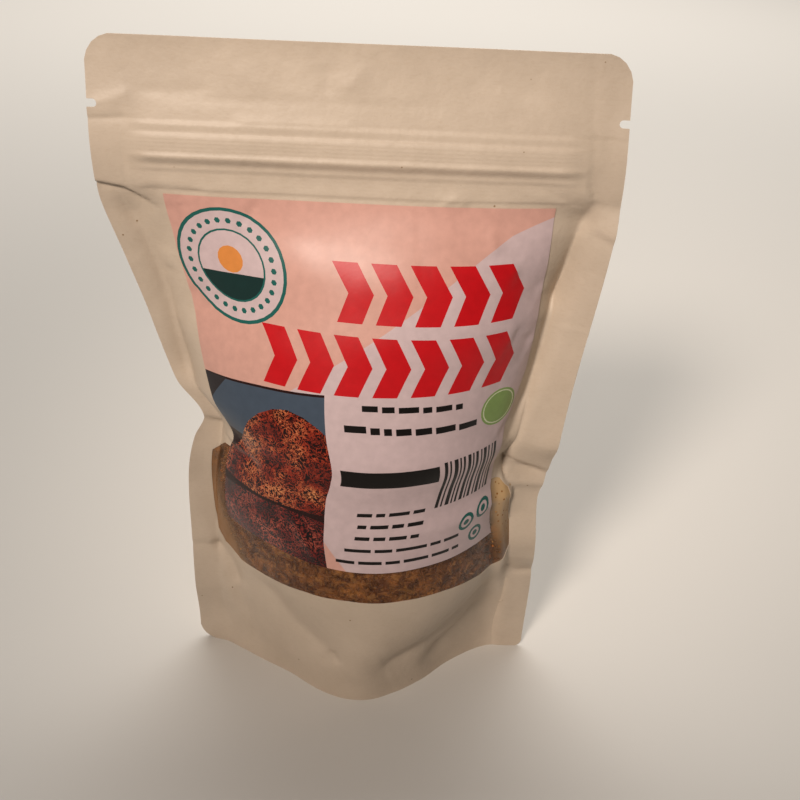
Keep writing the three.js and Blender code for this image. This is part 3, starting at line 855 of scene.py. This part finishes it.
# The picture field: two heaps and a dark band between them, against a slate wall.
paint([(-61, 70), (-9, 70), (-9, 135.6), (-36, 133.4), (-61, 131.8)], "maroon")
paint([(-61, 112), (-9, 112), (-9, 134.8), (-36, 132.6), (-61, 131)], "blue")
paint([(-61, 121), (-50, 131.8), (-61, 131)], "night")
paint([(-61, 91.5), (-9, 91.5), (-9, 117), (-12, 120.5), (-16, 123.8), (-21, 126.6), (-26.5, 127.8),
       (-32, 126.8), (-38, 123.8), (-44, 119.2), (-50, 113.5), (-56, 107), (-61, 100.5)], "heap")
paint([(-61, 70), (-9, 70), (-9, 88), (-20, 89.8), (-33, 90.5), (-47, 89.7), (-61, 87.5)],
      "dark_heap")
PICTURE_EDGE = [(-11.3, 70), (-12.8, 86), (-15.4, 106), (-13.8, 121), (-13.2, 136)]
for (low_x, low_z), (high_x, high_z) in zip(PICTURE_EDGE, PICTURE_EDGE[1:]):
    paint([(low_x, low_z), (-8, low_z), (-8, high_z), (high_x, high_z)], "white")
paint([(-11.3, 70), (-4.5, 70), (-12.2, 81)], "salmon")

# Two rows of chevrons, rows of dashes, a plain box, bars that are no code and three rings.
for i in range(5):
    chevron(-9 + i * 12.2, 8, 157.2, 174.4)
for i in range(7):
    chevron(-34.5 + i * 12.1, 7.8, 135.2, 153.4)
dashes(-1.5, 31.5, 130.8, 1.9, (5, 4, 6.5, 3, 5.5, 4.5), 1.5)
dashes(-7.5, 38, 124, 2.2, (7, 3, 2.5, 5, 5.5, 7), 2.5)
paint(box(-12, 21.5, 105, 111.2), "black")
dashes(-3, 20, 92.6, 1.4, (5, 3, 7, 4.5))
dashes(-2, 21, 88, 1.4, (3, 6, 4, 5.5))
dashes(-2, 20.5, 83.5, 1.4, (5, 4, 6, 3))
dashes(-5, 36.5, 78.6, 1.3, (9, 6, 11, 4, 7))
dashes(-8, 37, 73.6, 1.3, (6.5, 8, 5, 9, 7))
BAR_WIDTHS = (1.3, 0.7, 1.6, 0.7, 0.9, 1.4, 0.7, 1.2, 0.7, 1.5, 0.8, 0.7, 1.3)
BAR_GAPS = (0.8, 1.1, 0.7)
bar_left = 23.4
for i, width in enumerate(BAR_WIDTHS):
    paint(box(bar_left, bar_left + width, 93, 112), "black")
    bar_left += width + BAR_GAPS[i % len(BAR_GAPS)]
for centre in ((39, 83.6), (46.4, 86), (44.8, 76.4)):
    for radius, count, ink in ((3.3, 16, "teal"), (2.2, 12, "white"), (1.2, 8, "teal")):
        paint(disc(centre, radius, count), ink)

# The round badge: a ring of dots, a low sun and water.
BADGE = (-42.3, 169.6)
BADGE_DOTS = 26
paint(disc(BADGE, 18.4, 36, 0.98), "teal")
paint(disc(BADGE, 17.3, 36, 0.98), "white")
for i in range(BADGE_DOTS):
    turn = 2 * math.pi * i / BADGE_DOTS
    paint(disc((BADGE[0] + 14.2 * math.cos(turn), BADGE[1] + 14 * math.sin(turn)), 0.95, 6), "teal")
paint(disc(BADGE, 11.4), "teal")
paint(disc(BADGE, 10.8), "white")
paint(disc((BADGE[0], BADGE[1] + 2), 4.2, 16), "orange")
paint([point for point in disc(BADGE, 10.8) if point[1] < BADGE[1] - 1], "dark_teal")
# The green oval.
for radius, ink in ((7.9, "green"), (7.1, "pale_green"), (6.6, "green")):
    paint(disc((46.8, 125.6), radius, 26, 0.86), ink)
lay_on_web(label, FRONT, LABEL_OUT)
label_piece = finish_piece("label_sheet", label, [INKS[name] for name in INK_ORDER],
                           ["label"])
thicken(label_piece, LABEL_THICKNESS * MM)

# --- The crayfish behind the window, over a core of the same colour.
random.seed(7)
CRAYFISH_COUNT = 1300
# The curl and the length of each kind of crayfish.
CRAYFISH_KINDS = ((2.6, 13), (3.4, 16), (1.4, 11), (4.0, 15))
FAN_WIDTH, FAN_THINNESS, FAN_LENGTH = 4, 0.4, 1.5


def crayfish_mesh(curl, length):
    """A small dried crayfish: a curled, tapering body whose last ring is spread into a fan."""
    bm = bmesh.new()
    start = bmesh.ops.create_circle(
        bm, segments=5, radius=1.0, cap_ends=True, matrix=Matrix.Rotation(math.pi / 2, 4, "X"))
    radius = length / curl
    bmesh.ops.translate(bm, verts=start["verts"], vec=(radius, 0, 0))
    bmesh.ops.spin(
        bm, geom=[*bm.verts, *bm.edges, *bm.faces], cent=(0, 0, 0), axis=(0, 0, 1), angle=curl,
        steps=7, use_duplicate=False)
    for vert in bm.verts:
        angle = math.atan2(vert.co.y, vert.co.x) % (2 * math.pi)
        share = min(angle / curl, 1)
        girth = 1.7 * (1 - 0.75 * share) * (0.55 + 1.5 * min(share, 0.3))
        middle = Vector((math.cos(angle), math.sin(angle), 0)) * radius
        vert.co = middle + (vert.co - middle) * girth
        # The last ring makes the tail fan.
        if share > 0.99:
            onward = Vector((-math.sin(angle), math.cos(angle), 0))
            spread = vert.co.z * FAN_WIDTH
            vert.co = middle.lerp(vert.co, FAN_THINNESS) + onward * FAN_LENGTH
            vert.co.z = spread
    bmesh.ops.recalc_face_normals(bm, faces=bm.faces)
    mesh = bpy.data.meshes.new("one crayfish")
    bm.to_mesh(mesh)
    bm.free()
    mesh.uv_layers.new(name="tone")
    return mesh


def scatter(shapes, count, place):
    """Joins many copies of the shapes, each at its own place and with its own tone."""
    bm = bmesh.new()
    for _ in range(count):
        copy = random.choice(shapes).copy()
        copy.transform(place())
        tone = random.random()
        copy.uv_layers["tone"].data.foreach_set("uv", [tone, 0.5] * len(copy.loops))
        bm.from_mesh(copy)
        bpy.data.meshes.remove(copy)
    return bm


def crayfish_place(low, high, depth_low, depth_high):
    """Gives a function that draws places behind the window, lying along the web."""
    def place():
        across, height = random.uniform(-58, 57), random.uniform(low, high)
        depth = random.uniform(depth_low, depth_high)
        point = wrinkled(FRONT, across, height, -depth)
        out = web_normal(FRONT, across, height)
        turn = out.to_track_quat("Z", "Y").to_matrix().to_4x4()
        tilt = Matrix.Rotation(random.uniform(-0.3, 0.3), 4, "X")
        tip = tilt @ Matrix.Rotation(random.uniform(-0.3, 0.3), 4, "Y")
        spin = Matrix.Rotation(random.uniform(0, 2 * math.pi), 4, "Z")
        size = random.uniform(0.75, 1.1)
        return Matrix.Translation(point * MM) @ turn @ tip @ spin @ Matrix.Scale(size * MM, 4)
    return place


def keep_behind_paper(bm, gap=1.2, cell=2):
    """Moves what would poke through the front web back behind it. The web's inner face is looked up
    in a grid of cells, and the innermost place in a cell counts."""
    inner_face = {}
    for row in range(30, 130):
        for column in range(-PANEL_HALF, PANEL_HALF + 1):
            spot = wrinkled(FRONT, column, row, -PAPER - gap)
            key = (round(spot.x / cell), round(spot.z / cell))
            inner_face[key] = max(inner_face.get(key, -math.inf), spot.y)
    for vert in bm.verts:
        limit = inner_face.get((round(vert.co.x / MM / cell), round(vert.co.z / MM / cell)))
        if limit is not None and vert.co.y < limit * MM:
            vert.co.y = limit * MM


shapes = [crayfish_mesh(curl, length) for curl, length in CRAYFISH_KINDS]
heap = scatter(shapes, CRAYFISH_COUNT, crayfish_place(44, 112, 2.2, 6.0))
keep_behind_paper(heap)
finish_piece("dried_crayfish_heap", heap, [CRAYFISH], ["crayfish_fill"])

# Crumbs and broken shell that cling to the inside of the film.
crumb = bmesh.new()
bmesh.ops.create_icosphere(crumb, subdivisions=1, radius=1.0)
for vert in crumb.verts:
    vert.co *= 0.6 + 0.8 * random.random()
crumb_mesh = bpy.data.meshes.new("one crumb")
crumb.to_mesh(crumb_mesh)
crumb.free()
crumb_mesh.uv_layers.new(name="tone")
CRUMB_COUNT = 700
# The least distance between the webs where a crumb may lie.
CRUMB_ROOM = 6.5
# Where crumbs gather, as (centre, spread, weight).
CRUMB_PATCHES = [((-66, 90), (4, 5), 3), ((-60, 58), (7, 5), 2), ((-35, 60), (16, 5), 3),
                 ((5, 62), (22, 5), 5), ((40, 58), (16, 6), 2), ((63, 74), (3, 12), 1)]


def crumb_place():
    """Draws a place for a crumb, just inside the film."""
    weights = [weight for _, _, weight in CRUMB_PATCHES]
    centre, spread, _ = random.choices(CRUMB_PATCHES, weights=weights)[0]
    across = min(max(random.gauss(centre[0], spread[0]), -70), 69)
    height = min(max(random.gauss(centre[1], spread[1]), 51), 101)
    while web_point(BACK, across, height).y - web_point(FRONT, across, height).y < CRUMB_ROOM:
        across *= 0.96
    point = wrinkled(FRONT, across, height, -PAPER - random.uniform(1.0, 2.4))
    turn = Matrix.Rotation(random.uniform(0, math.pi), 4,
                           Vector((random.random(), random.random(), 1)))
    size = random.uniform(0.25, 0.9) * MM
    form = Matrix.Diagonal((size * 1.6, size, size * 0.6, 1))
    return Matrix.Translation(point * MM) @ turn @ form


crumbs = scatter([crumb_mesh], CRUMB_COUNT, crumb_place)
finish_piece("crayfish_crumbs", crumbs, [CRAYFISH], ["crayfish_fill"])
bpy.data.meshes.remove(crumb_mesh)

# The core: a ball drawn out to the form of the pouch's inside, some way within the webs.
CORE_BOTTOM, CORE_HEIGHT, CORE_HALF, CORE_IN = 8, 138, 64, 6
# The lower these two are, the boxier the core is.
CORE_RING_POWER, CORE_SIDE_POWER = 0.35, 0.6
CORE_TONE = 0.3
core = bmesh.new()
bmesh.ops.create_uvsphere(core, u_segments=64, v_segments=40, radius=1)
for vert in core.verts:
    angle = math.atan2(vert.co.y, vert.co.x)
    lift = vert.co.z
    height = CORE_BOTTOM + (lift + 1) / 2 * CORE_HEIGHT
    ring = math.sqrt(max(1 - lift * lift, 0)) ** CORE_RING_POWER
    across = CORE_HALF * math.cos(angle) * ring
    side = FRONT if vert.co.y < 0 else BACK
    skin = web_point(side, across, height) - web_normal(side, across, height) * CORE_IN
    middle = Vector((skin.x, seam_lean(height), skin.z))
    share = abs(math.sin(angle)) ** CORE_SIDE_POWER * ring
    vert.co = middle.lerp(skin, min(share, 1)) * MM
core_uv = core.loops.layers.uv.new("tone")
for face in core.faces:
    for loop in face.loops:
        loop[core_uv].uv = (CORE_TONE, 0.5)
finish_piece("crayfish_core", core, [CRAYFISH], ["crayfish_fill"])
for shape in shapes:
    bpy.data.meshes.remove(shape)

# --- The zip strip keeps its shape and gets its plastic.
zip_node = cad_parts["press_zip"]
for material_slot in zip_node.material_slots:
    material_slot.material = ZIP

# --- Floor and light.
FLOOR_HALF = 3
floor_sheet = bmesh.new()
bmesh.ops.create_grid(floor_sheet, x_segments=1, y_segments=1, size=FLOOR_HALF)
floor_data = bpy.data.meshes.new("floor")
floor_sheet.to_mesh(floor_data)
floor_sheet.free()
floor = bpy.data.objects.new("floor", floor_data)
bpy.context.collection.objects.link(floor)
floor_material = bpy.data.materials.new("floor_paper")
floor_material.use_nodes = True
floor_shader = floor_material.node_tree.nodes["Principled BSDF"]
floor_shader.inputs["Base Color"].default_value = linear("#D0CCC6")
floor_shader.inputs["Roughness"].default_value = 0.9
floor_data.materials.append(floor_material)


def add_light(name, kind, place, target, power, colour, **settings):
    """Adds a light that shines from a place to a target, both in metres."""
    data = bpy.data.lights.new(name, kind)
    data.energy = power
    data.color = linear(colour)[:3]
    for setting, value in settings.items():
        setattr(data, setting, value)
    lamp = bpy.data.objects.new(name, data)
    aim = (Vector(target) - Vector(place)).to_track_quat("-Z", "Y").to_matrix().to_4x4()
    lamp.matrix_world = Matrix.Translation(Vector(place)) @ aim
    bpy.context.collection.objects.link(lamp)
    return lamp


# A soft lamp in front on the left, and a wide one behind that lights the floor.
add_light("key", "SPOT", (-0.30, -0.69, 0.77), (0.01, 0, 0.195), 45, "#FFF2E6",
          shadow_soft_size=0.12, spot_size=math.radians(30), spot_blend=1.0)
light = add_light("overhead", "AREA", (0.0, 1.7, 1.5), (0, 1.5, 0), 60, "#FFFAF4", size=2.6)
world = bpy.data.worlds.new("studio")
world.use_nodes = True
background = world.node_tree.nodes["Background"]
background.inputs["Color"].default_value = linear("#F3EEE8")
background.inputs["Strength"].default_value = 0.05
bpy.context.scene.world = world
